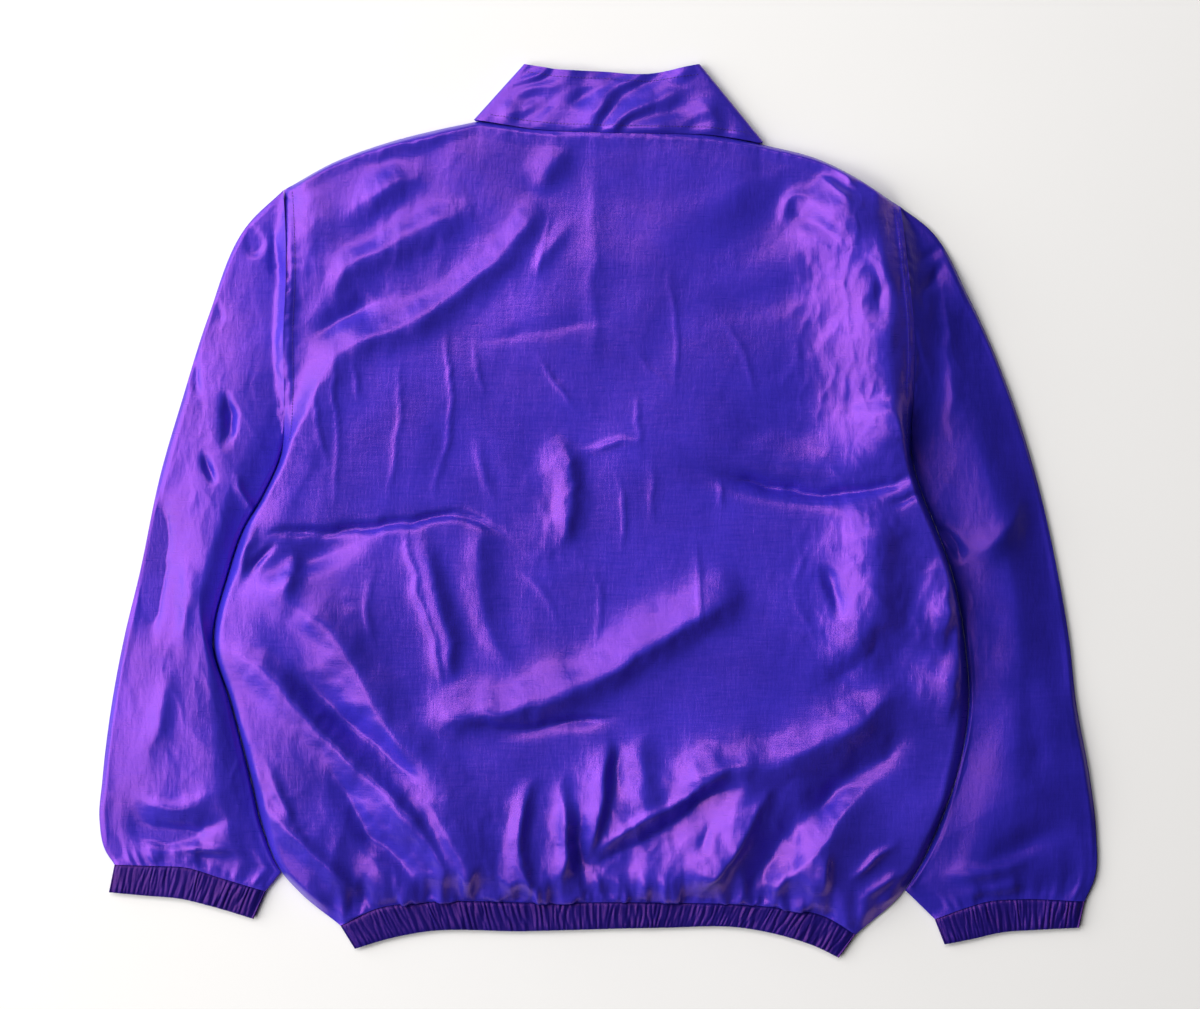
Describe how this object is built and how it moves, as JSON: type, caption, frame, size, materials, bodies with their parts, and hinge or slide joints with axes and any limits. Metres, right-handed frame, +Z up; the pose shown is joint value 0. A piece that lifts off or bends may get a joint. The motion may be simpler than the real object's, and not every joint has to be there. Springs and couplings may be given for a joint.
{
  "type": "nylon pullover jacket",
  "caption": "Nylon pullover jacket laid flat with its back up: bloused back on a flat front, sleeves beside the body, elastic hem and cuffs, stand collar.",
  "frame": {"origin": "centre of the jacket's outline, on the surface that it lies on", "axes": "+X across the back to the sleeve on the right, +Y from the hem to the collar, +Z up from the surface"},
  "size_m": [0.8956, 0.804, 0.0451],
  "materials": {
    "nylon": "crinkled two-tone purple and blue nylon with a satin sheen",
    "gathered_nylon": "the same nylon, gathered over elastic"
  },
  "bodies": {
    "root": {"back": "nylon", "front": "nylon", "sleeve_left": "nylon", "sleeve_right": "nylon", "collar": "nylon", "cuff_left": "gathered_nylon", "cuff_right": "gathered_nylon", "hem_band": "gathered_nylon"}
  },
  "joints": []
}
